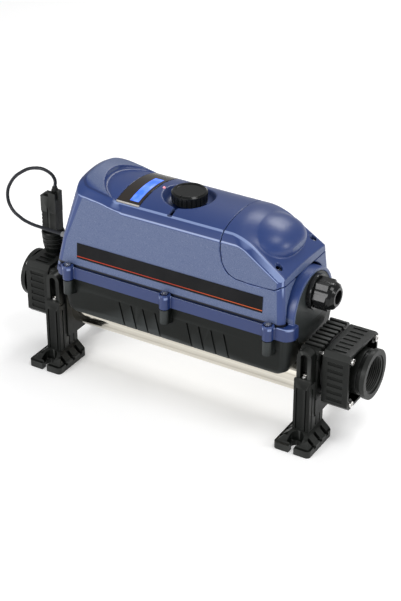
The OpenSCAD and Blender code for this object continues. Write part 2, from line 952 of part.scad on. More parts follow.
module high_limit_cutout() {
  color(grey)
    difference() {
      union() {
        translate([-140, 22, 111])
          cylinder(r = 11, h = 16);
        translate([-140, 22, 127])
          cylinder(r = 5, h = 7);
      }
      translate([-140, 22, 120])
        cylinder(r = 2.55, h = 20);
    }
}

module reset_button() {
  color([0.8, 0.1, 0.1])
    union() {
      translate([-140, 22, 124])
        cylinder(r = 2.5, h = 12);
      translate([-140, 22, 137])
        cylinder(r = 4, h = 3);
      translate([-140, 22, 136])
        cylinder(r = 2.5, h = 1);
    }
}

module earth_stud() {
  color(brass) {
    translate([-140, -30, 111])
      cylinder(r = 3, h = 18);
    for (z = [113, 120])
      translate([-140, -30, z])
        difference() {
          cylinder(r = 6, h = 4, $fn = 6);
          translate([0, 0, -1])
            cylinder(r = 2.9, h = 6);
        }
  }
}

// ---- heating elements, their plate and the sensor pocket

module rod(a, b, r) {
  v = b - a;
  h = norm(v);
  translate(a)
    rotate([0, acos(v[2] / h), atan2(v[1], v[0])])
      cylinder(r = r, h = h, $fn = 32);
}

module heating_elements() {
  color([0.42, 0.4, 0.36])
    for (y = [-9, 9]) {
      rod([-104, y, 82], [-104, y, 134], 4);
      rod([-116, y, 62], [-116, y, 134], 4);
      rod([-104, y, 82], [120, y, 82], 4);
      rod([-116, y, 62], [120, y, 62], 4);
      translate([120, y, 72])
        rotate([90, 0, 0])
          rotate([0, 0, -90])
            rotate_extrude(angle = 180)
              translate([10, 0])
                circle(r = 4, $fn = 32);
      translate([-104, y, 82])
        sphere(r = 4, $fn = 24);
      translate([-116, y, 62])
        sphere(r = 4, $fn = 24);
    }
}

module element_gasket() {
  color(rubber)
    translate([-110, 0, 112])
      difference() {
        cylinder(r = 18.5, h = 1.4);
        translate([0, 0, -1])
          cylinder(r = 16, h = 4);
      }
}

module element_plate() {
  color(brass)
    translate([-110, 0, 113.4])
      difference() {
        cylinder(r = 24, h = 4);
        for (y = [-9, 9])
          for (x = [-6, 6])
            translate([x, y, -1])
              cylinder(r = 4, h = 8, $fn = 32);
        for (a = [0 : 90 : 270])
          rotate([0, 0, a])
            translate([21, 0, -1])
              cylinder(r = 1.7, h = 8, $fn = 24);
      }
}

module element_nuts() {
  color(steel)
    for (a = [0 : 90 : 270])
      translate([-110, 0, 0])
        rotate([0, 0, a])
          translate([21, 0, 0]) {
            translate([0, 0, 111])
              cylinder(r = 1.6, h = 9, $fn = 24);
            translate([0, 0, 117.4])
              difference() {
                cylinder(r = 3, h = 2.6, $fn = 6);
                translate([0, 0, -1])
                  cylinder(r = 1.6, h = 5, $fn = 24);
              }
          }
}

module sensor_pocket() {
  color(brass)
    difference() {
      union() {
        translate([110, 0, 78])
          cylinder(r = 4.5, h = 34);
        translate([110, 0, 110.2])
          cylinder(r = 7.5, h = 5, $fn = 6);
      }
      translate([110, 0, 80])
        cylinder(r = 2.6, h = 40);
    }
}

// ---- mains gland

module gland_body() {
  color(black)
    difference() {
      union() {
        xcyl(15.9, 150.5, 163, 0, gland_z);
        xcyl(22, 162.5, 167.5, 0, gland_z);
        xcyl(15.5, 167, 180, 0, gland_z);
      }
      xcyl(11.5, 149, 181, 0, gland_z);
    }
}

module gland_locknut() {
  color(black)
    translate([151, 0, gland_z])
      rotate([0, 90, 0])
        difference() {
          cylinder(r = 21, h = 4, $fn = 6);
          translate([0, 0, -1])
            cylinder(r = 15.9, h = 6);
        }
}

module gland_washer_ring() {
  difference() {
    xcyl(20, 161, 162.5, 0, gland_z);
    xcyl(15.9, 160, 164, 0, gland_z);
  }
}

module gland_seal() {
  color(rubber) {
    gland_washer_ring();
    // clamping insert in the mouth
    difference() {
      xcyl(11.4, 172, 185.5, 0, gland_z);
      xcyl(8, 171, 187, 0, gland_z);
    }
  }
}

module gland_nut() {
  color(black)
    difference() {
      union() {
        translate([168, 0, gland_z])
          rotate([0, 90, 0])
            rotate([0, 0, 30])
              cylinder(r = 19.5, h = 16.5, $fn = 6);
        xcyl(17.2, 168, 186, 0, gland_z);
        translate([186, 0, gland_z])
          rotate([0, 90, 0])
            cylinder(r1 = 17.2, r2 = 15.6, h = 4);
        translate([190, 0, gland_z])
          rotate([0, 90, 0])
            cylinder(r1 = 15.6, r2 = 11.5, h = 3);
      }
      xcyl(15.8, 167, 181, 0, gland_z);
      xcyl(11.8, 180, 187, 0, gland_z);
      xcyl(8.6, 186, 194, 0, gland_z);
    }
}

// ---- flow switch

module flow_switch_body() {
  color(black)
    difference() {
      union() {
        // stem in the cap, with the fork of the paddle
        translate([switch_x, 0, 104])
          cylinder(r = 7, h = 30);
        for (sy = [-1, 1])
          box([switch_x - 3, min(sy * 4.6, sy * 6.4), 96], [switch_x + 3, max(sy * 4.6, sy * 6.4), 106]);
        translate([switch_x, 0, 131])
          cylinder(r = 9.4, h = 22);
        // two-part housing
        box([switch_x - 11, -7.5, 153], [switch_x + 11, 7.5, 186]);
        box([switch_x - 11.5, -8, 186], [switch_x + 0.5, 8, 208]);
        box([switch_x + 0.5, -8, 186], [switch_x + 11, 8, switch_top_z]);
        box([switch_x + 11, -3, 204], [switch_x + 14, 3, 217]);
        translate([switch_x + 6, 0, switch_top_z])
          cylinder(r = 4.5, h = 3);
        translate([switch_x - 6, 0, 208])
          cylinder(r = 4, h = 1.6);
      }
      // grooves between the housing's halves
      for (sy = [-1, 1])
        box([switch_x - 2.4, sy * 8 - 1.4, 160], [switch_x + 1.4, sy * 8 + 1.4, 192]);
      // ribbed sides
      for (z = [162 : 5 : 182])
        box([switch_x - 12, -9, z], [switch_x - 10.3, 9, z + 1.4]);
      // paddle pin holes
      translate([switch_x, -8, 100])
        rotate([-90, 0, 0])
          cylinder(r = 1.2, h = 16, $fn = 24);
      // lead entry
      translate([switch_x + 6, 0, 210])
        cylinder(r = 2.3, h = 10);
    }
}

module flow_switch_seal() {
  color(rubber)
    translate([switch_x, 0, 127.2])
      rotate_extrude()
        translate([8.4, 0])
          circle(r = 1.2, $fn = 20);
}

module flow_switch_nut() {
  color(black)
    difference() {
      union() {
        translate([switch_x, 0, 128.8])
          cylinder(r1 = 11, r2 = 13.6, h = 12);
        translate([switch_x, 0, 140.8])
          cylinder(r1 = 13.6, r2 = 15, h = 16);
        translate([switch_x, 0, 156.8])
          cylinder(r1 = 15, r2 = 14, h = 2);
      }
      translate([switch_x, 0, 120])
        cylinder(r = 9.7, h = 33.3);
      translate([switch_x, 0, 152.8])
        cylinder(r = 13.65, h = 8);
      // grip rings
      for (z = [138, 144, 150])
        translate([switch_x, 0, z])
          difference() {
            cylinder(r = 16, h = 1.4);
            cylinder(r = 12.4 + (z - 138) * 0.08, h = 1.4);
          }
    }
}

module flow_paddle() {
  color(grey)
    difference() {
      union() {
        box([switch_x - 0.8, -4.2, 99], [switch_x + 0.8, 4.2, 103]);
        box([switch_x - 0.8, -9, 75], [switch_x + 0.8, 9, 94]);
        box([switch_x - 0.8, -4.2, 93], [switch_x + 0.8, 4.2, 100]);
        translate([switch_x, -4.2, 100])
          rotate([-90, 0, 0])
            cylinder(r = 2.6, h = 8.4);
      }
      translate([switch_x, -5, 100])
        rotate([-90, 0, 0])
          cylinder(r = 1.25, h = 10);
    }
}

module paddle_pin() {
  color(steel)
    translate([switch_x, -6.4, 100])
      rotate([-90, 0, 0])
        cylinder(r = 1.2, h = 12.8);
}

module switch_gland() {
  color(rubber)
    translate([switch_x + 6, 0, 210])
      difference() {
        union() {
          cylinder(r = 2.3, h = 7);
          translate([0, 0, 7])
            cylinder(r1 = 4, r2 = 3, h = 4);
        }
        translate([0, 0, 8])
          cylinder(r = 2.7, h = 4);
      }
}

module cable_grommet() {
  color(grey)
    translate([-170, -30, 175])
      rotate([0, 90, 0])
        difference() {
          union() {
            cylinder(r = 6.5, h = 3);
            translate([0, 0, 3])
              cylinder(r = 5.2, h = 14);
            translate([0, 0, -6])
              cylinder(r = 3.4, h = 6.2);
          }
          translate([0, 0, -7])
            cylinder(r = 2.2, h = 5);
        }
}

module flow_switch_cable() {
  color(rubber)
    polyhedron(
      points = lead_ring,
      faces = concat(
        [[for (k = [0 : 7]) k]],
        [for (i = [0 : lead_m - 2]) for (k = [0 : 7])
          [i * 8 + k, i * 8 + 8 + k, i * 8 + 8 + (k + 1) % 8, i * 8 + (k + 1) % 8]],
        [[for (k = [7 : -1 : 0]) (lead_m - 1) * 8 + k]]));
}

flow_tube();
tube_seals();
left_end_housing();
right_end_housing();
left_end_cap();
right_end_cap();
cap_seals();
cap_screws();
left_front_foot();
right_front_foot();
left_rear_foot();
right_rear_foot();
foot_screws();
lower_case();
cover_gasket();
main_cover();
access_cover();
cover_screws();
access_screws();
label_strip();
display_window();
display_module();
control_board();
board_screws();
thermostat_control();
thermostat_shaft();
thermostat_knob();
knob_seal();
indicator_led();
terminal_block();
terminal_screws();
contactor();
contactor_plunger();
high_limit_cutout();
reset_button();
earth_stud();
heating_elements();
element_plate();
element_gasket();
element_nuts();
sensor_pocket();
gland_body();
gland_locknut();
gland_seal();
gland_nut();
flow_switch_body();
flow_switch_nut();
flow_switch_seal();
flow_paddle();
paddle_pin();
switch_gland();
cable_grommet();
flow_switch_cable();
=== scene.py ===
import json
import math

import bmesh
import bpy
import numpy as np
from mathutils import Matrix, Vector


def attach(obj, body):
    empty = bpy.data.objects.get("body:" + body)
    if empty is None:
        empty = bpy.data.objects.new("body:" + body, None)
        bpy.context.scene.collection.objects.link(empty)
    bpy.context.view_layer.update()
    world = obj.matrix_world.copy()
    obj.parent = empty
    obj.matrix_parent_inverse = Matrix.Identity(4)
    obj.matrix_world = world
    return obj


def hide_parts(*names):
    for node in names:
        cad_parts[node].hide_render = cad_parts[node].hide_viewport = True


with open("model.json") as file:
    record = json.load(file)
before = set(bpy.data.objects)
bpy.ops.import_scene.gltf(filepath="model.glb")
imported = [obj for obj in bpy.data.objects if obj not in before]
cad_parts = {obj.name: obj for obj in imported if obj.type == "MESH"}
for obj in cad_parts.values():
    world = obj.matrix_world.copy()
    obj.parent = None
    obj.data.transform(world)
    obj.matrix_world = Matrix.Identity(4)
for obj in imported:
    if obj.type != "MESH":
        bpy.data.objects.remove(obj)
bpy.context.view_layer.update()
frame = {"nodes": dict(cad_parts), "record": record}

nodes = frame["nodes"]
scene = bpy.context.scene

MM = 0.001

# Section of the covers' roof, an arc about an axis along X. Shape and material both use it.
CROWN_RADIUS = 122.06
CROWN_AXIS_Z = 137.94


# ---- node helpers

def new_mat(name):
    m = bpy.data.materials.new(name)
    m.use_nodes = True
    nt = m.node_tree
    bsdf = nt.nodes["Principled BSDF"]
    return m, nt, bsdf


def add(nt, kind, **kw):
    n = nt.nodes.new(kind)
    for k, v in kw.items():
        setattr(n, k, v)
    return n


def coords(nt):
    return add(nt, "ShaderNodeTexCoord").outputs["Object"]


def split(nt, vector):
    n = add(nt, "ShaderNodeSeparateXYZ")
    nt.links.new(vector, n.inputs[0])
    return n.outputs["X"], n.outputs["Y"], n.outputs["Z"]


def noise(nt, scale, detail=3.0, rough=0.5, stretch=None):
    n = add(nt, "ShaderNodeTexNoise")
    n.inputs["Scale"].default_value = scale
    n.inputs["Detail"].default_value = detail
    n.inputs["Roughness"].default_value = rough
    src = coords(nt)
    if stretch:
        m = add(nt, "ShaderNodeMapping")
        m.inputs["Scale"].default_value = stretch
        nt.links.new(src, m.inputs["Vector"])
        src = m.outputs["Vector"]
    nt.links.new(src, n.inputs["Vector"])
    return n.outputs["Fac"]


def ramp(nt, fac, stops):
    r = add(nt, "ShaderNodeValToRGB")
    el = r.color_ramp.elements
    while len(el) > 1:
        el.remove(el[-1])
    el[0].position = stops[0][0]
    el[0].color = stops[0][1]
    for p, c in stops[1:]:
        e = el.new(p)
        e.color = c
    nt.links.new(fac, r.inputs["Fac"])
    return r.outputs["Color"]


def span(nt, fac, a, b, lo, hi):
    m = add(nt, "ShaderNodeMapRange")
    m.inputs["From Min"].default_value = a
    m.inputs["From Max"].default_value = b
    m.inputs["To Min"].default_value = lo
    m.inputs["To Max"].default_value = hi
    nt.links.new(fac, m.inputs["Value"])
    return m.outputs["Result"]


def math_node(nt, op, a, b=None):
    m = add(nt, "ShaderNodeMath", operation=op)
    for i, v in enumerate((a, b)):
        if v is None:
            continue
        if isinstance(v, (int, float)):
            m.inputs[i].default_value = v
        else:
            nt.links.new(v, m.inputs[i])
    return m.outputs[0]


def times(nt, first, *factors):
    for factor in factors:
        first = math_node(nt, "MULTIPLY", first, factor)
    return first


def rising(nt, value, limits, top=1.0):
    return span(nt, value, limits[0], limits[1], 0.0, top)


def falling(nt, value, limits):
    return span(nt, value, limits[0], limits[1], 1.0, 0.0)


def between(nt, value, limits, top=1.0):
    return times(nt, rising(nt, value, limits[:2], top), falling(nt, value, limits[2:]))


def mix(nt, fac, a, b):
    m = add(nt, "ShaderNodeMix", data_type="RGBA")
    nt.links.new(fac, m.inputs["Factor"])
    for s, v in (("A", a), ("B", b)):
        sock = [x for x in m.inputs if x.name == s and x.type == "RGBA"][0]
        if isinstance(v, tuple):
            sock.default_value = v
        else:
            nt.links.new(v, sock)
    return [x for x in m.outputs if x.type == "RGBA"][0]


def bump(nt, bsdf, height, strength, dist=0.0005):
    b = add(nt, "ShaderNodeBump")
    b.inputs["Strength"].default_value = strength
    b.inputs["Distance"].default_value = dist
    nt.links.new(height, b.inputs["Height"])
    nt.links.new(b.outputs["Normal"], bsdf.inputs["Normal"])


# ---- plastics and metals

# noise values between which a colour or a roughness goes from its first to its second value
NOISE_LOW = 0.3
NOISE_HIGH = 0.7
# pointiness values between which an edge goes from unworn to worn
WEAR_LIMITS = (0.51, 0.58)
PATCH_SCALE = 7.0
PLASTIC_SPECULAR = 0.14


def two_tone(nt, fac, dark, light):
    return ramp(nt, fac, [(NOISE_LOW, dark), (NOISE_HIGH, light)])


def varied(nt, fac, limits):
    return span(nt, fac, NOISE_LOW, NOISE_HIGH, limits[0], limits[1])


def plastic(name, dark, light, rough=(0.35, 0.5), grain=900.0, grain_strength=0.25, wear=None,
            coat=0.0):
    m, nt, bsdf = new_mat(name)
    big = noise(nt, PATCH_SCALE, 4.0, 0.6)
    col = two_tone(nt, big, dark, light)
    if wear:
        geo = add(nt, "ShaderNodeNewGeometry")
        col = mix(nt, rising(nt, geo.outputs["Pointiness"], WEAR_LIMITS), col, wear)
    nt.links.new(col, bsdf.inputs["Base Color"])
    nt.links.new(varied(nt, big, rough), bsdf.inputs["Roughness"])
    bump(nt, bsdf, noise(nt, grain, 2.0, 0.6), grain_strength)
    bsdf.inputs["Specular IOR Level"].default_value = PLASTIC_SPECULAR
    bsdf.inputs["Coat Weight"].default_value = coat
    bsdf.inputs["Coat Roughness"].default_value = 0.08
    return m


def metal(name, dark, light, rough, scale, strength, stretch=None):
    m, nt, bsdf = new_mat(name)
    big = noise(nt, scale * 0.3, 4.0, 0.6, stretch)
    nt.links.new(two_tone(nt, big, dark, light), bsdf.inputs["Base Color"])
    fine = noise(nt, scale, 3.0, 0.6, stretch)
    nt.links.new(varied(nt, fine, rough), bsdf.inputs["Roughness"])
    bsdf.inputs["Metallic"].default_value = 1.0
    bump(nt, bsdf, fine, strength, 0.0002)
    return m


PLASTICS = {
    "black_moulding": dict(dark=(0.004, 0.0048, 0.0042, 1), light=(0.008, 0.009, 0.008, 1),
                           rough=(0.28, 0.42), grain=700, grain_strength=0.3,
                           wear=(0.05, 0.052, 0.05, 1)),
    "black_case": dict(dark=(0.004, 0.0052, 0.0044, 1), light=(0.008, 0.0095, 0.0085, 1),
                       rough=(0.34, 0.48), grain=900, grain_strength=0.3,
                       wear=(0.04, 0.045, 0.045, 1)),
    "gloss_black": dict(dark=(0.004, 0.0045, 0.0045, 1), light=(0.008, 0.009, 0.009, 1),
                        rough=(0.14, 0.24), grain=500, grain_strength=0.05,
                        wear=(0.025, 0.025, 0.026, 1), coat=0.25),
    "seal_rubber": dict(dark=(0.012, 0.012, 0.012, 1), light=(0.025, 0.025, 0.025, 1),
                        rough=(0.6, 0.8), grain=1200, grain_strength=0.2),
    "cable_jacket": dict(dark=(0.010, 0.011, 0.015, 1), light=(0.02, 0.022, 0.028, 1),
                         rough=(0.3, 0.42), grain=1200, grain_strength=0.1, coat=0.2),
    "grey_plastic": dict(dark=(0.16, 0.165, 0.175, 1), light=(0.24, 0.245, 0.255, 1)),
    "ivory_plastic": dict(dark=(0.6, 0.57, 0.48, 1), light=(0.72, 0.69, 0.6, 1)),
    "orange_plastic": dict(dark=(0.6, 0.2, 0.04, 1), light=(0.75, 0.28, 0.07, 1)),
    "red_plastic": dict(dark=(0.45, 0.02, 0.015, 1), light=(0.6, 0.04, 0.03, 1)),
    "circuit_board": dict(dark=(0.02, 0.14, 0.05, 1), light=(0.04, 0.22, 0.09, 1)),
    "display_panel": dict(dark=(0.03, 0.08, 0.5, 1), light=(0.06, 0.14, 0.7, 1)),
}

METALS = {
    "polished_steel": dict(dark=(0.5, 0.46, 0.38, 1), light=(0.95, 0.92, 0.84, 1),
                           rough=(0.05, 0.14), scale=14, strength=0.03, stretch=(0.03, 30, 30)),
    "screw_steel": dict(dark=(0.6, 0.59, 0.57, 1), light=(0.8, 0.79, 0.77, 1),
                        rough=(0.2, 0.35), scale=300, strength=0.1),
    "dark_screw": dict(dark=(0.34, 0.35, 0.38, 1), light=(0.6, 0.61, 0.64, 1),
                       rough=(0.2, 0.32), scale=300, strength=0.1),
    "brass": dict(dark=(0.62, 0.45, 0.18, 1), light=(0.8, 0.62, 0.3, 1),
                  rough=(0.2, 0.4), scale=200, strength=0.1),
    "element_sheath": dict(dark=(0.16, 0.15, 0.13, 1), light=(0.34, 0.31, 0.28, 1),
                           rough=(0.4, 0.6), scale=60, strength=0.15, stretch=(1, 8, 8)),
}


# ---- the blue of the covers

# Limits of the masks. A mask rises from 0 between the first two numbers and falls back to 0
# between the last two. Positions are in metres. X and Y parts of a normal are taken without sign.
WALL_NORMAL_Y = (0.985, 0.993)
END_NORMAL_X = (0.96, 0.98)
WALL_Z = (0.1555, 0.158)
COLLAR_RADIUS = (0.1233, 0.1239)
COLLAR_END_X = (-0.0845, -0.0838)
COLLAR_NORMAL_Z = (0.925, 0.94)
# BAND_Y to RIM_Z place painted highlight lines along the band's edges and the flange's rim.
BAND_Y = (0.0428, 0.0436)
BAND_Z = (0.19, 0.2)
TOP_HIGHLIGHT_NORMAL_Y = (0.44, 0.49, 0.66, 0.71)
TOP_HIGHLIGHT_START_X = (-0.088, -0.084)
LOW_HIGHLIGHT_NORMAL_Y = (0.83, 0.87, 0.95, 0.975)
LOW_HIGHLIGHT_NORMAL_Z = (0.2, 0.26)
RIM_NORMAL_Y = (0.3, 0.45, 0.85, 0.95)
RIM_Z = (0.1525, 0.1530, 0.1556, 0.1560)
FLANGE_MASK_Z = (0.1550, 0.1560)
# BRIM_NORMAL_Z to BRIM_Z place painted shade on the edges of the collar and its bowl.
BRIM_NORMAL_Z = (0.78, 0.83, 0.90, 0.93)
BRIM_END_X = (-0.0900, -0.0880)
BRIM_Z = (0.2530, 0.2545)
# GAP_X to GAP_Z place a painted shade line in the gap between the walls and the flange.
GAP_X = (-0.1660, -0.1656, 0.1537, 0.1541)
GAP_Y = (0.0607, 0.0609)
GAP_Z = (0.1540, 0.1545, 0.1572, 0.1577)
# strength of the painted highlight lines
HIGHLIGHT_STRENGTH = 0.7
# strength of the painted shade on the collar's edges
BRIM_SHADE_STRENGTH = 0.6

SMOOTH_BLUE = ((0.013, 0.036, 0.150, 1), (0.019, 0.047, 0.180, 1))
SPARK_BLUE = [(0.25, (0.040, 0.066, 0.165, 1)), (0.5, (0.075, 0.108, 0.220, 1)),
              (0.78, (0.17, 0.20, 0.30, 1))]
FLANGE_BLUE = (0.009, 0.026, 0.118, 1)
# colour of the painted highlight lines
HIGHLIGHT_BLUE = (0.27, 0.35, 0.60, 1)
# colour of the painted shade on the collar's edges
BRIM_SHADE_BLUE = (0.006, 0.015, 0.065, 1)
# colour of the painted shade in the gap
GAP_SHADE_BLUE = (0.003, 0.005, 0.014, 1)


def blue_cover_material():
    m, nt, bsdf = new_mat("blue_cover")
    x, y, z = split(nt, coords(nt))
    nx, ny, nz = split(nt, add(nt, "ShaderNodeNewGeometry").outputs["Normal"])
    ny = math_node(nt, "ABSOLUTE", ny)
    nx = math_node(nt, "ABSOLUTE", nx)
    off_middle = math_node(nt, "ABSOLUTE", y)

    # the side and end walls have a fine spark texture
    walls_mask = math_node(nt, "MAXIMUM", rising(nt, ny, WALL_NORMAL_Y), rising(nt, nx, END_NORMAL_X))
    walls_mask = times(nt, walls_mask, rising(nt, z, WALL_Z))
    # so has the raised collar behind the display, but not its bowl
    rise = math_node(nt, "SUBTRACT", z, CROWN_AXIS_Z * MM)
    square = math_node(nt, "ADD", times(nt, y, y), times(nt, rise, rise))
    radius = math_node(nt, "SQRT", square)
    collar = times(nt, rising(nt, radius, COLLAR_RADIUS), falling(nt, x, COLLAR_END_X),
                   rising(nt, nz, COLLAR_NORMAL_Z))
    spark = math_node(nt, "MAXIMUM", walls_mask, collar)
    smooth_col = two_tone(nt, noise(nt, 6.0), *SMOOTH_BLUE)
    spark_col = ramp(nt, noise(nt, 1500.0, 2.0, 0.6), SPARK_BLUE)
    col = mix(nt, spark, smooth_col, spark_col)

    # painted highlight lines where the sloping band meets the roof and the walls, and along the flange
    top_highlight = times(nt, between(nt, ny, TOP_HIGHLIGHT_NORMAL_Y), rising(nt, x, TOP_HIGHLIGHT_START_X))
    low_highlight = times(nt, between(nt, ny, LOW_HIGHLIGHT_NORMAL_Y), rising(nt, nz, LOW_HIGHLIGHT_NORMAL_Z))
    band_highlights = times(nt, math_node(nt, "MAXIMUM", top_highlight, low_highlight), rising(nt, off_middle, BAND_Y),
                  rising(nt, z, BAND_Z, HIGHLIGHT_STRENGTH))
    rim_highlight = times(nt, between(nt, ny, RIM_NORMAL_Y, HIGHLIGHT_STRENGTH), between(nt, z, RIM_Z))
    col = mix(nt, falling(nt, z, FLANGE_MASK_Z), col, FLANGE_BLUE)
    col = mix(nt, math_node(nt, "MAXIMUM", band_highlights, rim_highlight), col, HIGHLIGHT_BLUE)

    # painted shade on the edges of the collar and its bowl
    brim_shade = times(nt, between(nt, nz, BRIM_NORMAL_Z, BRIM_SHADE_STRENGTH), falling(nt, x, BRIM_END_X),
                 rising(nt, z, BRIM_Z))
    col = mix(nt, brim_shade, col, BRIM_SHADE_BLUE)

    # painted shade: a dark line in the gap between the walls and the flange
    gap_shade = times(nt, between(nt, z, GAP_Z), falling(nt, off_middle, GAP_Y), between(nt, x, GAP_X))
    col = mix(nt, gap_shade, col, GAP_SHADE_BLUE)
    nt.links.new(col, bsdf.inputs["Base Color"])

    grain = noise(nt, 520.0, 3.0, 0.7)
    base_rough = span(nt, spark, 0.0, 1.0, 0.38, 0.52)
    rough = math_node(nt, "ADD", base_rough, varied(nt, grain, (-0.03, 0.03)))
    nt.links.new(rough, bsdf.inputs["Roughness"])
    bump(nt, bsdf, times(nt, grain, span(nt, spark, 0.0, 1.0, 0.12, 1.0)), 0.35, 0.0006)
    bsdf.inputs["Coat Weight"].default_value = 0.12
    bsdf.inputs["Coat Roughness"].default_value = 0.3
    return m


# ---- label strip, display and lamp

LABEL_LINE_Z = (0.16955, 0.16965, 0.17045, 0.17055)
LABEL_X = (-0.13, 0.125)
LABEL_BLACK = ((0.004, 0.004, 0.005, 1), (0.009, 0.009, 0.010, 1))
LABEL_RED = [(0.0, (0.5, 0.05, 0.02, 1)), (0.5, (0.42, 0.04, 0.02, 1)), (1.0, (0.62, 0.12, 0.03, 1))]

LCD_X = (-0.0679, -0.0671, -0.0559, -0.0551)
LCD_Y = (-0.0389, -0.0381, 0.0191, 0.0199)
LCD_Z = (0.2505, 0.2508)
LCD_BLUE = [(0.3, (0.03, 0.12, 0.75, 1)), (0.55, (0.09, 0.2, 0.9, 1)), (0.8, (0.28, 0.36, 0.95, 1))]
LCD_GLOW = 0.75
LENS_BROWN = ((0.014, 0.010, 0.008, 1), (0.024, 0.018, 0.014, 1))
# the next three numbers place and colour a painted highlight along the window's front edge
LIP_DEPTH = (0.0010, 0.0014)
LIP_Z = (0.2475, 0.2485)
LIP_HIGHLIGHT_GREY = (0.50, 0.47, 0.44, 1)

LAMP_PINK = ((0.75, 0.25, 0.33, 1), (0.95, 0.5, 0.55, 1))


def label_material():
    m, nt, bsdf = new_mat("label_film")
    x, _, z = split(nt, coords(nt))
    base = two_tone(nt, noise(nt, 40.0), *LABEL_BLACK)
    red = ramp(nt, rising(nt, x, LABEL_X), LABEL_RED)
    nt.links.new(mix(nt, between(nt, z, LABEL_LINE_Z), base, red), bsdf.inputs["Base Color"])
    nt.links.new(varied(nt, noise(nt, 80.0), (0.28, 0.36)), bsdf.inputs["Roughness"])
    bsdf.inputs["Specular IOR Level"].default_value = 0.12
    return m


def display_material():
    m, nt, bsdf = new_mat("display_lens")
    x, y, z = split(nt, coords(nt))
    lcd = times(nt, between(nt, x, LCD_X), between(nt, y, LCD_Y), rising(nt, z, LCD_Z))
    glow = ramp(nt, noise(nt, 120.0, 2.0, 0.5, (1, 0.6, 1)), LCD_BLUE)
    # painted highlight along the window's front edge
    front = min(corner[1] for corner in nodes["display_window"].bound_box)
    lip_highlight = times(nt, falling(nt, y, [front + depth for depth in LIP_DEPTH]), rising(nt, z, LIP_Z))
    base = mix(nt, lip_highlight, two_tone(nt, noise(nt, 30.0), *LENS_BROWN), LIP_HIGHLIGHT_GREY)
    nt.links.new(mix(nt, lcd, base, glow), bsdf.inputs["Base Color"])
    nt.links.new(glow, bsdf.inputs["Emission Color"])
    nt.links.new(times(nt, lcd, LCD_GLOW), bsdf.inputs["Emission Strength"])
    nt.links.new(varied(nt, noise(nt, 60.0), (0.12, 0.2)), bsdf.inputs["Roughness"])
    return m


def lamp_material():
    m, nt, bsdf = new_mat("led_lens")
    col = two_tone(nt, noise(nt, 300.0), *LAMP_PINK)
    nt.links.new(col, bsdf.inputs["Base Color"])
    nt.links.new(col, bsdf.inputs["Emission Color"])
    bsdf.inputs["Emission Strength"].default_value = 0.5
    bsdf.inputs["Roughness"].default_value = 0.2
    return m


MATS = {"blue_cover": blue_cover_material(), "label_film": label_material(),
        "display_lens": display_material(), "led_lens": lamp_material()}
for name, look in PLASTICS.items():
    MATS[name] = plastic(name, **look)
for name, look in METALS.items():
    MATS[name] = metal(name, **look)

slot_of = {s["node"]: s["material_slot"] for s in frame["record"]["subparts"]}
for name, ob in nodes.items():
    mat = MATS[slot_of[name]]
    for i in range(max(1, len(ob.material_slots))):
        if i >= len(ob.data.materials):
            ob.data.materials.append(mat)
        else:
            ob.data.materials[i] = mat


# ---- rounded edges of the moulded and machined parts

SHARP_ANGLE = math.radians(30)
WELD_DISTANCE = 0.00001

# width of each part's edge rounding, in metres
EDGES = {"left_end_housing": 0.0005, "right_end_housing": 0.0005, "left_end_cap": 0.0004,
         "right_end_cap": 0.0004, "left_front_foot": 0.0006, "right_front_foot": 0.0006,
         "left_rear_foot": 0.0005, "right_rear_foot": 0.0005, "thermostat_knob": 0.0005,
         "gland_nut": 0.0006, "gland_body": 0.0005, "flow_switch_body": 0.0004,
         "flow_switch_nut": 0.0004, "display_window": 0.0003, "label_strip": 0.0001,
         "cover_screws": 0.0002, "cap_screws": 0.0003, "foot_screws": 0.0002}


def soften(ob, width):
    w = ob.modifiers.new("weld", "WELD")
    w.merge_threshold = WELD_DISTANCE
    b = ob.modifiers.new("edge", "BEVEL")
    b.width = width
    b.segments = 2
    b.limit_method = "ANGLE"
    b.angle_limit = SHARP_ANGLE
    b.use_clamp_overlap = True
    b.miter_outer = "MITER_ARC"
    n = ob.modifiers.new("shade", "WEIGHTED_NORMAL")
    n.mode = "FACE_AREA_WITH_ANGLE"
    n.weight = 90
    n.keep_sharp = True


for name, ob in nodes.items():
    ob.data.set_sharp_from_angle(angle=SHARP_ANGLE)
    if name in EDGES:
        soften(ob, EDGES[name])


# ---- distance fields in millimetres, and the mesh of one

# a distance beyond every other one, to start a minimum with
FAR = 1e9


def rmax(a, b, r):
    """Intersection of two fields, with its edge rounded to radius r."""
    u = np.maximum(a + r, 0.0)
    v = np.maximum(b + r, 0.0)
    return np.minimum(np.maximum(a, b), -r) + np.sqrt(u * u + v * v)


def rmin(a, b, r):
    """Union of two fields, with its corner filled to radius r."""
    return -rmax(-a, -b, r)


def slab(v, lo, hi):
    return np.abs(v - (lo + hi) / 2) - (hi - lo) / 2


def box_xy(x, y, xs, ys):
    return np.maximum(slab(x, *xs), slab(y, *ys))


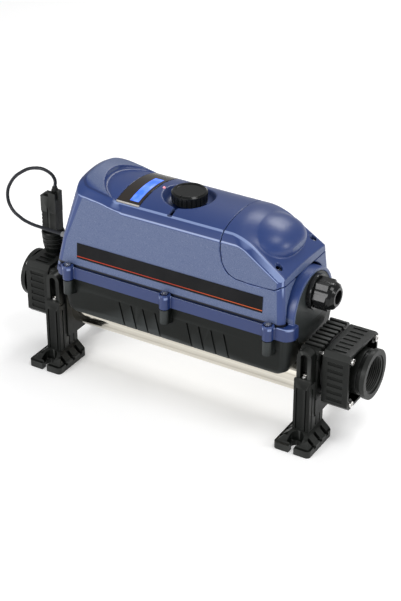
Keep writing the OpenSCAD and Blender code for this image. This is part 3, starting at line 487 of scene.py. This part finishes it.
def surface_net(fn, lo, hi, step):
    """Quads near the zero level of fn, one vertex in each grid cell that the level crosses."""
    ax = [np.arange(lo[i], hi[i] + step, step) for i in range(3)]
    grid = np.meshgrid(*ax, indexing="ij")
    f = fn(*grid)
    neg = f < 0
    count = np.zeros(tuple(n - 1 for n in f.shape), dtype=np.int8)
    corners = [(i, j, k) for i in (0, 1) for j in (0, 1) for k in (0, 1)]
    for i, j, k in corners:
        count += neg[i:neg.shape[0] - 1 + i, j:neg.shape[1] - 1 + j, k:neg.shape[2] - 1 + k]
    cells = np.argwhere((count > 0) & (count < 8))
    index = -np.ones(count.shape, dtype=np.int64)
    index[tuple(cells.T)] = np.arange(len(cells))
    total = np.zeros((len(cells), 3))
    hits = np.zeros(len(cells))
    for a in corners:
        for axis in range(3):
            if a[axis]:
                continue
            b = list(a)
            b[axis] = 1
            ca, cb = cells + np.array(a), cells + np.array(b)
            fa, fb = f[tuple(ca.T)], f[tuple(cb.T)]
            cross = (fa < 0) != (fb < 0)
            t = np.where(cross, fa / np.where(cross, fa - fb, 1.0), 0.0)
            pos = np.array(a) + np.eye(3)[axis] * t[:, None]
            total[cross] += pos[cross]
            hits[cross] += 1
    verts = np.array(lo) + step * (cells + total / hits[:, None])
    quads = []
    for axis in range(3):
        u, v = (axis + 1) % 3, (axis + 2) % 3
        n = list(f.shape)
        sl_a = [slice(1, -1)] * 3
        sl_b = [slice(1, -1)] * 3
        sl_a[axis] = slice(0, n[axis] - 1)
        sl_b[axis] = slice(1, n[axis])
        na, nb = neg[tuple(sl_a)], neg[tuple(sl_b)]
        for flip, hit in ((False, na & ~nb), (True, ~na & nb)):
            base = np.argwhere(hit)
            base[:, u] += 1
            base[:, v] += 1
            ring = []
            for du, dv in ((-1, -1), (0, -1), (0, 0), (-1, 0)):
                c = base.copy()
                c[:, u] += du
                c[:, v] += dv
                ring.append(index[tuple(c.T)])
            quads.append(np.stack(ring[::-1] if flip else ring, axis=1))
    return verts, np.concatenate(quads)


def gradient(fn, v, e):
    g = np.empty_like(v)
    for i in range(3):
        d = np.zeros(3)
        d[i] = e
        g[:, i] = (fn(*(v + d).T) - fn(*(v - d).T)) / (2 * e)
    return g


def onto_surface(fn, verts, step):
    """Move the vertices to the zero level in four Newton steps."""
    for _ in range(4):
        g = gradient(fn, verts, 0.05)
        d = fn(*verts.T) / np.maximum((g * g).sum(axis=1), 0.2)
        verts = verts - np.clip(d, -0.4 * step, 0.4 * step)[:, None] * g
    return verts


def shell_mesh(name, fn, lo, hi, step, replaced):
    verts, quads = surface_net(fn, lo, hi, step)
    verts = onto_surface(fn, verts, step)
    g = gradient(fn, verts, 0.02)
    normals = g / np.maximum(np.linalg.norm(g, axis=1), 1e-6)[:, None]
    me = bpy.data.meshes.new(name)
    me.vertices.add(len(verts))
    me.vertices.foreach_set("co", (verts * MM).astype(np.float32).ravel())
    me.loops.add(len(quads) * 4)
    me.loops.foreach_set("vertex_index", quads.astype(np.int32).ravel())
    me.polygons.add(len(quads))
    me.polygons.foreach_set("loop_start", np.arange(0, len(quads) * 4, 4, dtype=np.int32))
    me.update(calc_edges=True)
    me.polygons.foreach_set("use_smooth", np.ones(len(quads), dtype=bool))
    me.validate()
    me.normals_split_custom_set_from_vertices([tuple(n) for n in normals.tolist()])
    me.materials.append(MATS["blue_cover"])
    ob = bpy.data.objects.new(name, me)
    scene.collection.objects.link(ob)
    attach(ob, "heater")
    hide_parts(replaced)


# ---- outer form of the two covers

# The walls lean inwards. Each has its distance from the middle at WALL_FOOT_Z, and its normal.
WALL_FOOT_Z = 154
SIDE_WALL_Y = 60.7
SIDE_NORMAL = (0.99713, 0.07564)
LEFT_WALL_X = 165.5
LEFT_NORMAL = (0.97813, 0.20799)
RIGHT_WALL_X = 153.5
RIGHT_NORMAL = (0.99705, 0.0767)

# The roof slopes down to the gland end from SLOPE_START_X. It is arched across, and the arch's
# height is the first number of SLOPE_ARCH, less the second where the slope ends.
SLOPE_START_X = 92
SLOPE_START_Z = 251
SLOPE_LENGTH = 56.5
SLOPE_NORMAL = (0.553, 0.8332)
SLOPE_ARCH = (9, 7)
SLOPE_HALF_WIDTH = 48

# The collar behind the display rises to the left, with a cone cut out of it as a bowl. It drops
# towards its sides by the first number of COLLAR_DROP, and by the second more where it is highest.
COLLAR_START_X = -86
COLLAR_LENGTH = 53.0
COLLAR_Z = 260
COLLAR_RISE = 12.2
COLLAR_DROP = (8, 4)
COLLAR_HALF_WIDTH = 46
COLLAR_CUT_X = -70
BOWL_X = -83
BOWL_FLOOR_Z = 252
BOWL_RADIUS = 33.5
BOWL_FLARE = 0.12
BOWL_STRETCH = 1.31

# The hood over the terminals is a squared ellipsoid: centre and half axes.
HOOD_X, HOOD_Z = 96, 233
HOOD_AXES = (46.0, 43.5, 26.0)

# The sloping band between walls and roof is a blend of both fields, set in by BAND_CUT.
BAND_NORMAL = (0.6117, 0.7911)
BAND_CUT = 4.477

# Thickness of the covers, and the axis height of the arched opening at the gland end.
SKIN = 4.6
ARCH_AXIS_Z = 155


def walls(x, y, z):
    up = z - WALL_FOOT_Z
    side = (np.abs(y) - SIDE_WALL_Y) * SIDE_NORMAL[0] + up * SIDE_NORMAL[1]
    left = -(x + LEFT_WALL_X) * LEFT_NORMAL[0] + up * LEFT_NORMAL[1]
    right = (x - RIGHT_WALL_X) * RIGHT_NORMAL[0] + up * RIGHT_NORMAL[1]
    return side, left, right


def crown_top(y, z):
    return np.sqrt(y * y + (z - CROWN_AXIS_Z) ** 2) - CROWN_RADIUS


def cover_top(x, y, z):
    along = x - SLOPE_START_X
    t = np.clip(along / SLOPE_LENGTH, 0, 1)
    arch = (SLOPE_ARCH[0] - SLOPE_ARCH[1] * t) * (1 - (y / SLOPE_HALF_WIDTH) ** 2)
    slope = along * SLOPE_NORMAL[0] + (z - SLOPE_START_Z - arch) * SLOPE_NORMAL[1]
    return rmax(crown_top(y, z), slope, 9.0)


def hump_top(x, y, z):
    t = np.clip((COLLAR_START_X - x) / COLLAR_LENGTH, -1.0, 1.4)
    drop = COLLAR_DROP[0] + COLLAR_DROP[1] * np.maximum(t, 0) ** 2
    collar = (z - (COLLAR_Z + COLLAR_RISE * t - drop * (y / COLLAR_HALF_WIDTH) ** 2)) * 0.95
    bowl_radius = BOWL_RADIUS + (z - BOWL_FLOOR_Z) * BOWL_FLARE
    bowl = np.sqrt((x - BOWL_X) ** 2 + (y / BOWL_STRETCH) ** 2) - bowl_radius
    return np.maximum(rmax(collar, -bowl * 0.9, 0.6), x - COLLAR_CUT_X)


def hood(x, y, z):
    plan = np.abs((x - HOOD_X) / HOOD_AXES[0]) ** 2.5 + np.abs(y / HOOD_AXES[1]) ** 2.5
    square = plan ** 0.8 + ((z - HOOD_Z) / HOOD_AXES[2]) ** 2
    return (np.sqrt(square) - 1.0) * 30.0


def cover_solid(x, y, z):
    side, left, right = walls(x, y, z)
    wall = rmax(side, left, 10 + 15 * np.clip((z - 190) / 80, 0, 1))
    top = rmin(cover_top(x, y, z), hump_top(x, y, z), 3 * np.clip((-90 - x) / 8, 0, 1))
    band = BAND_NORMAL[0] * wall + BAND_NORMAL[1] * top + BAND_CUT
    body = rmax(rmax(wall, band, 1.1), top, 1.3)
    body = rmax(body, right, 1.6)
    return np.maximum(body, rmax(side, right, 9.0))


# ---- seam between the two covers, seen from the front, as points (x, z)

SEAM = [(65, 340), (65, 246), (65.6, 230), (68.5, 216), (73, 208), (79, 202.5), (88, 199), (107, 197.8),
        (139, 198.4), (146, 203), (200, 206), (200, 340)]


def seam_edge(x, z):
    best = np.full(x.shape, FAR)
    inside = np.zeros(x.shape, dtype=bool)
    for (x1, z1), (x2, z2) in zip(SEAM, SEAM[1:] + SEAM[:1]):
        dx, dz = x2 - x1, z2 - z1
        t = np.clip(((x - x1) * dx + (z - z1) * dz) / (dx * dx + dz * dz), 0, 1)
        best = np.minimum(best, (x - x1 - t * dx) ** 2 + (z - z1 - t * dz) ** 2)
        if dz:
            inside ^= ((z1 > z) != (z2 > z)) & (x < dx * (z - z1) / dz + x1)
    return np.where(inside, -1.0, 1.0) * np.sqrt(best)


# ---- main cover

COVER_FOOT_Z = 141.5
KNOB_X = -8
KNOB_SHAFT_RADIUS = 5.3
DISH_RADIUS = 27
DISH_FLOOR_Z = 248.5
DISPLAY_SEAT = ((-84, -51), (-44.6, 44.6))
SEAT_DEPTH = 2.2
DISPLAY_WINDOW = ((-74, -54), (-38, 22))
POINTER_SLOT = ((-10.4, -5.6), (-45.5, -22))
POINTER_SLOT_Z = 249.0
ROOF_HOLES_Z = 240
SHAFT_TOP_Z = 262
WINDOW_FLOOR_Z = 235
LAMP_X = -43.5
LAMP_RADIUS = 1.95
END_ARCH_RADIUS = 52.5
END_ARCH_X = 140
GROMMET_Y, GROMMET_Z, GROMMET_RADIUS = -30, 175, 5.3
GROMMET_X = -145


def main_cover_field(x, y, z):
    knob = np.sqrt((x - KNOB_X) ** 2 + y * y)
    dish = rmax((knob - (DISH_RADIUS + (z - DISH_FLOOR_Z) * 0.5)) * 0.9, DISH_FLOOR_Z - z, 4.0)
    body = rmax(cover_solid(x, y, z), -dish, 1.2)
    shell = np.maximum(body, -(body + SKIN))
    lamp = np.sqrt((x - LAMP_X) ** 2 + y * y) - LAMP_RADIUS
    holes = (np.maximum(box_xy(x, y, *DISPLAY_SEAT), -(crown_top(y, z) + SEAT_DEPTH)),
             np.maximum(box_xy(x, y, *DISPLAY_WINDOW), WINDOW_FLOOR_Z - z),
             np.maximum(box_xy(x, y, *POINTER_SLOT), POINTER_SLOT_Z - z),
             np.maximum(knob - KNOB_SHAFT_RADIUS, np.maximum(ROOF_HOLES_Z - z, z - SHAFT_TOP_Z)),
             np.maximum(lamp, ROOF_HOLES_Z - z))
    for hole in holes:
        shell = np.maximum(shell, -hole)
    shell = rmax(shell, -seam_edge(x, z), 0.4)
    arch = np.where(z > ARCH_AXIS_Z, np.sqrt(y * y + (z - ARCH_AXIS_Z) ** 2), np.abs(y)) - END_ARCH_RADIUS
    shell = np.maximum(shell, -np.maximum(arch, END_ARCH_X - x))
    grommet = np.sqrt((y - GROMMET_Y) ** 2 + (z - GROMMET_Z) ** 2) - GROMMET_RADIUS
    shell = np.maximum(shell, -np.maximum(grommet, x - GROMMET_X))
    return np.maximum(shell, COVER_FOOT_Z - z)


# ---- access cover

ACCESS_SCREW_X, ACCESS_SCREW_Y = 136, 42
ACCESS_HEAD_RADIUS = 4.4
ACCESS_HEAD_Z = 215
ACCESS_SHANK_RADIUS = 2.1
SEAM_WIDTH = 0.9


def access_cover_field(x, y, z):
    blend = 1.6 + 9 * np.clip((112 - x) / 45, 0, 1)
    raised = rmin(cover_solid(x, y, z), hood(x, y, z), blend)
    shell = np.maximum(raised, -(raised + SKIN))
    hole = np.sqrt((x - ACCESS_SCREW_X) ** 2 + (np.abs(y) - ACCESS_SCREW_Y) ** 2)
    sunk = np.minimum(np.maximum(hole - ACCESS_HEAD_RADIUS, ACCESS_HEAD_Z - z), hole - ACCESS_SHANK_RADIUS)
    shell = rmax(shell, -sunk, 0.5)
    return rmax(shell, seam_edge(x, z) + SEAM_WIDTH, 0.5)


# ---- flange of the main cover, with its screw bosses and the arched ring at the gland end

FLANGE_HALF_X, FLANGE_HALF_Y, FLANGE_CORNER = 166, 64, 13
FLANGE_FOOT_Z = 138.5
FLANGE_TOP_Z = 155.5
BOSS_XS = (-143, -3, 137)
BOSS_Y = 67
BOSS_INNER_Y = 60
BOSS_RADIUS = 6.5
BOSS_TOP_Z = 158.5
SCREW_RADIUS = 2.4
SCREW_HEAD_RADIUS = 4.7
SCREW_HEAD_Z = 156
FLANGE_LAP = 3.5
GROOVE_WIDTH = 1.8
GROOVE_FLOOR_Z = 150.0
RING_RADIUS = 47.6
RING_HALF_WIDTH = 2.2
RING_X = (147, 161.5)
RING_FOOT_Z = 139
RING_BORE = 45.4


def flange_field(x, y, z):
    a = np.abs(y)
    qx = np.abs(x) - (FLANGE_HALF_X - FLANGE_CORNER)
    qy = a - (FLANGE_HALF_Y - FLANGE_CORNER)
    plate = np.sqrt(np.maximum(qx, 0) ** 2 + np.maximum(qy, 0) ** 2)
    plate = plate + np.minimum(np.maximum(qx, qy), 0) - FLANGE_CORNER
    plate = rmax(plate, z - FLANGE_TOP_Z, 1.5)
    boss = np.full(x.shape, FAR)
    for bx in BOSS_XS:
        body = np.sqrt((x - bx) ** 2 + np.maximum(a - BOSS_Y, 0) ** 2) - BOSS_RADIUS
        boss = np.minimum(boss, rmax(np.maximum(body, BOSS_INNER_Y - a), z - BOSS_TOP_Z, 0.8))
    out = rmin(plate, boss, 1.0)
    side, left, right = walls(x, y, z)
    wall = np.maximum(rmax(side, left, 11.0), right)
    wall = np.maximum(wall, rmax(side, right, 9.0))
    out = np.maximum(out, -np.maximum(wall - GROOVE_WIDTH, GROOVE_FLOOR_Z - z))
    out = np.maximum(out, -(wall + FLANGE_LAP))
    radius = np.where(z > ARCH_AXIS_Z, np.sqrt(y * y + (z - ARCH_AXIS_Z) ** 2), a)
    ring = rmax(np.abs(radius - RING_RADIUS) - RING_HALF_WIDTH, slab(x, *RING_X), 0.9)
    ring = np.maximum(ring, RING_FOOT_Z - z)
    out = np.maximum(out, -np.maximum(radius - RING_BORE, END_ARCH_X - x))
    out = rmin(out, ring, 1.0)
    for bx in BOSS_XS:
        r = np.sqrt((x - bx) ** 2 + (a - BOSS_Y) ** 2)
        head = np.maximum(r - SCREW_HEAD_RADIUS, SCREW_HEAD_Z - z)
        out = np.maximum(out, -np.minimum(r - SCREW_RADIUS, head))
    return np.maximum(out, FLANGE_FOOT_Z - z)


CELL = 1.5
FINE_CELL = CELL * 0.8
shell_mesh("main_cover_shell", main_cover_field, (-172, -66, 139), (160, 66, 275), CELL, "main_cover")
shell_mesh("main_cover_flange", flange_field, (-170, -78, 136), (170, 78, 208), FINE_CELL, "main_cover")
shell_mesh("access_cover_shell", access_cover_field, (60, -64, 192), (158, 64, 266), FINE_CELL,
           "access_cover")


# ---- female threads in the two ports, in millimetres

PORT_AXIS_Z = 89
THREAD_PITCH = 2.309
THREAD_CREST = 21.4
THREAD_ROOT = 22.6
THREAD_HALF_WIDTH = 1.0
THREAD_FIRST, THREAD_LAST = 226.5, 243.5
STEPS_PER_TURN = 48
FADE_STEPS = 12.0


def port_thread(name, end):
    turns = (THREAD_LAST - THREAD_FIRST) / THREAD_PITCH
    count = int(turns * STEPS_PER_TURN)
    bm = bmesh.new()
    rings = []
    for i in range(count + 1):
        ang = 2 * math.pi * i / STEPS_PER_TURN
        at = THREAD_FIRST + THREAD_PITCH * i / STEPS_PER_TURN
        # the ridge grows from nothing at both ends of the thread
        grow = min(1.0, i / FADE_STEPS, (count - i) / FADE_STEPS)
        tip = THREAD_ROOT - (THREAD_ROOT - THREAD_CREST) * grow - 0.01
        ring = []
        for off, rad in ((-THREAD_HALF_WIDTH, THREAD_ROOT), (0.0, tip), (THREAD_HALF_WIDTH, THREAD_ROOT)):
            co = (end * (at + off), math.cos(ang) * rad, PORT_AXIS_Z + math.sin(ang) * rad)
            ring.append(bm.verts.new(Vector(co) * MM))
        rings.append(ring)
    for a, b in zip(rings, rings[1:]):
        for i in range(3):
            j = (i + 1) % 3
            bm.faces.new((a[i], a[j], b[j], b[i]))
    bm.faces.new(rings[0])
    bm.faces.new(rings[-1][::-1])
    bmesh.ops.recalc_face_normals(bm, faces=bm.faces)
    me = bpy.data.meshes.new(name)
    bm.to_mesh(me)
    bm.free()
    me.materials.append(MATS["black_moulding"])
    ob = bpy.data.objects.new(name, me)
    scene.collection.objects.link(ob)
    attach(ob, "heater")


port_thread("right_port_thread", 1)
port_thread("left_port_thread", -1)


# ---- flow switch lead, the one cord of the object

# from the switch's gland to the grommet in the main cover, in millimetres
LEAD_POINTS = [(-206, 0, 218), (-205, -1, 232), (-213, -3, 241), (-230, -6, 243), (-251, -10, 233),
               (-265, -13, 217), (-269, -16, 200), (-262, -19, 185), (-246, -22, 176.5), (-229, -25, 174),
               (-207, -28, 174.5), (-190, -29.5, 175), (-175, -30, 175)]
LEAD_DIAMETER = 0.0044


def lead():
    cu = bpy.data.curves.new("flow_switch_lead", "CURVE")
    cu.dimensions = "3D"
    cu.bevel_depth = LEAD_DIAMETER / 2
    cu.bevel_resolution = 5
    cu.resolution_u = 10
    cu.use_fill_caps = True
    sp = cu.splines.new("BEZIER")
    sp.bezier_points.add(len(LEAD_POINTS) - 1)
    for bp, co in zip(sp.bezier_points, LEAD_POINTS):
        bp.co = Vector(co) * MM
        bp.handle_left_type = bp.handle_right_type = "AUTO"
    cu.materials.append(MATS["cable_jacket"])
    ob = bpy.data.objects.new("flow_switch_lead", cu)
    scene.collection.objects.link(ob)
    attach(ob, "heater")
    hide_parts("flow_switch_cable")


lead()


# ---- camera

CAMERA_AT = (0.8755, -1.4543, 1.1001)
CAMERA_AIM = (0.0071, 0.0, 0.1187)


def aim(ob, at, look):
    ob.location = at
    ob.rotation_euler = (Vector(look) - Vector(at)).to_track_quat("-Z", "Y").to_euler()
    scene.collection.objects.link(ob)


cam_data = bpy.data.cameras.new("camera")
cam_data.lens = 95.52
cam_data.sensor_width = 36.0
cam_data.clip_start = 0.1
cam_data.clip_end = 20.0
cam = bpy.data.objects.new("camera", cam_data)
aim(cam, CAMERA_AT, CAMERA_AIM)
scene.camera = cam


# ---- floor, world and lights

WHITE = (1.0, 1.0, 1.0, 1)
FLOOR_WHITES = ((0.90, 0.90, 0.90, 1), (0.93, 0.93, 0.93, 1))
FLOOR_HALF_SIZE = 6.0
FLOOR_DROP = 0.0003


def stage_floor():
    me = bpy.data.meshes.new("floor")
    bm = bmesh.new()
    bmesh.ops.create_grid(bm, x_segments=4, y_segments=4, size=FLOOR_HALF_SIZE)
    bm.to_mesh(me)
    bm.free()
    ob = bpy.data.objects.new("floor", me)
    ob.location = (0, 0, -FLOOR_DROP)
    scene.collection.objects.link(ob)
    m, nt, bsdf = new_mat("floor")
    nt.links.new(two_tone(nt, noise(nt, 1.5), *FLOOR_WHITES), bsdf.inputs["Base Color"])
    bsdf.inputs["Emission Color"].default_value = WHITE
    bsdf.inputs["Emission Strength"].default_value = 0.22
    bsdf.inputs["Roughness"].default_value = 0.9
    me.materials.append(m)


stage_floor()

world = bpy.data.worlds.new("studio")
scene.world = world
world.use_nodes = True
bg = world.node_tree.nodes["Background"]
bg.inputs["Color"].default_value = WHITE
bg.inputs["Strength"].default_value = 0.42


def area(name, at, look, size, power):
    d = bpy.data.lights.new(name, "AREA")
    d.shape = "RECTANGLE"
    d.size, d.size_y = size
    d.energy = power
    aim(bpy.data.objects.new(name, d), at, look)


area("key", (-0.7, -1.9, 0.95), (0, 0, 0.15), (1.2, 0.7), 24)
area("fill_right", (1.8, 0.1, 0.9), (0, 0, 0.15), (0.5, 0.7), 9)
area("back", (-0.1, 1.45, 1.75), (0, 0, 0.2), (0.9, 0.6), 16)
area("nose", (0.8, -0.15, 2.0), (0, 0, 0.2), (0.8, 0.6), 10)
scene.view_settings.view_transform = "Standard"
